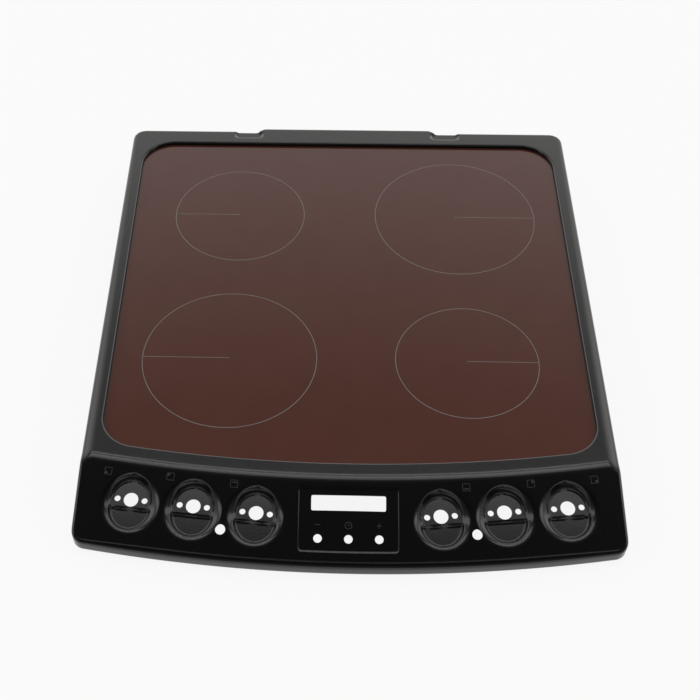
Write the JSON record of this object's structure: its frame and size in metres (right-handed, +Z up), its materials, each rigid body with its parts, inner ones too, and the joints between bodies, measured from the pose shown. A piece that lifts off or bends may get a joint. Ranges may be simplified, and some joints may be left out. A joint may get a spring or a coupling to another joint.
{
  "type": "ceramic hob top",
  "caption": "Black enamelled cooker hob top with a bowed sloping control fascia, a bonded dark glass-ceramic panel, and round radiant heaters sprung up against it on rails.",
  "frame": {"origin": "middle of the bounding box at the level of the bottom edge", "axes": "+X right and -Y towards the control fascia, as a cook stands; +Z up, out of the glass"},
  "size_m": [0.559, 0.6289, 0.049],
  "materials": {
    "enamel": "gloss black vitreous enamel",
    "hob_glass": "polished glass-ceramic, dark red-brown",
    "sealant": "satin silicone",
    "galvanised": "galvanised sheet",
    "zinc_plated": "bright zinc plate",
    "spring_steel": "drawn wire",
    "tinned_brass": "satin",
    "insulation": "matt pressed insulation",
    "resistance_alloy": "oxidised ribbon",
    "quartz": "clear quartz tube",
    "steatite": "unglazed"
  },
  "bodies": {
    "hob_top": {"hob_pressing": "enamel", "glass_panel": "hob_glass", "glass_seal": "sealant", "rail_screws": "zinc_plated", "spring_studs": "zinc_plated", "earth_tab": "tinned_brass", "rear_rail": "galvanised", "front_rail": "galvanised", "springs_rear_left": "spring_steel", "springs_rear_right": "spring_steel", "springs_front_left": "spring_steel", "springs_front_right": "spring_steel"},
    "heater_rear_left": {"pan_rear_left": "galvanised", "base_rear_left": "insulation", "rim_rear_left": "insulation", "ribbon_rear_left": "resistance_alloy", "limiter_rod_rear_left": "quartz", "limiter_switch_rear_left": "steatite", "terminal_block_rear_left": "steatite", "terminal_tabs_rear_left": "tinned_brass"},
    "heater_rear_right": {"pan_rear_right": "galvanised", "base_rear_right": "insulation", "rim_rear_right": "insulation", "ribbon_rear_right": "resistance_alloy", "limiter_rod_rear_right": "quartz", "limiter_switch_rear_right": "steatite", "terminal_block_rear_right": "steatite", "terminal_tabs_rear_right": "tinned_brass"},
    "heater_front_left": {"pan_front_left": "galvanised", "base_front_left": "insulation", "rim_front_left": "insulation", "ribbon_front_left": "resistance_alloy", "limiter_rod_front_left": "quartz", "limiter_switch_front_left": "steatite", "terminal_block_front_left": "steatite", "terminal_tabs_front_left": "tinned_brass"},
    "heater_front_right": {"pan_front_right": "galvanised", "base_front_right": "insulation", "rim_front_right": "insulation", "ribbon_front_right": "resistance_alloy", "limiter_rod_front_right": "quartz", "limiter_switch_front_right": "steatite", "terminal_block_front_right": "steatite", "terminal_tabs_front_right": "tinned_brass"}
  },
  "joints": [
    {"name": "heater_float_rear_left", "type": "slide", "parent": "hob_top", "child": "heater_rear_left", "axis": [0, 0, 1], "range_m": [-0.004, 0], "stiffness_N_per_m": 4000, "springref_m": 0.006, "deforming": ["springs_rear_left"]},
    {"name": "heater_float_rear_right", "type": "slide", "parent": "hob_top", "child": "heater_rear_right", "axis": [0, 0, 1], "range_m": [-0.004, 0], "stiffness_N_per_m": 4000, "springref_m": 0.006, "deforming": ["springs_rear_right"]},
    {"name": "heater_float_front_left", "type": "slide", "parent": "hob_top", "child": "heater_front_left", "axis": [0, 0, 1], "range_m": [-0.004, 0], "stiffness_N_per_m": 4000, "springref_m": 0.006, "deforming": ["springs_front_left"]},
    {"name": "heater_float_front_right", "type": "slide", "parent": "hob_top", "child": "heater_front_right", "axis": [0, 0, 1], "range_m": [-0.004, 0], "stiffness_N_per_m": 4000, "springref_m": 0.006, "deforming": ["springs_front_right"]}
  ]
}
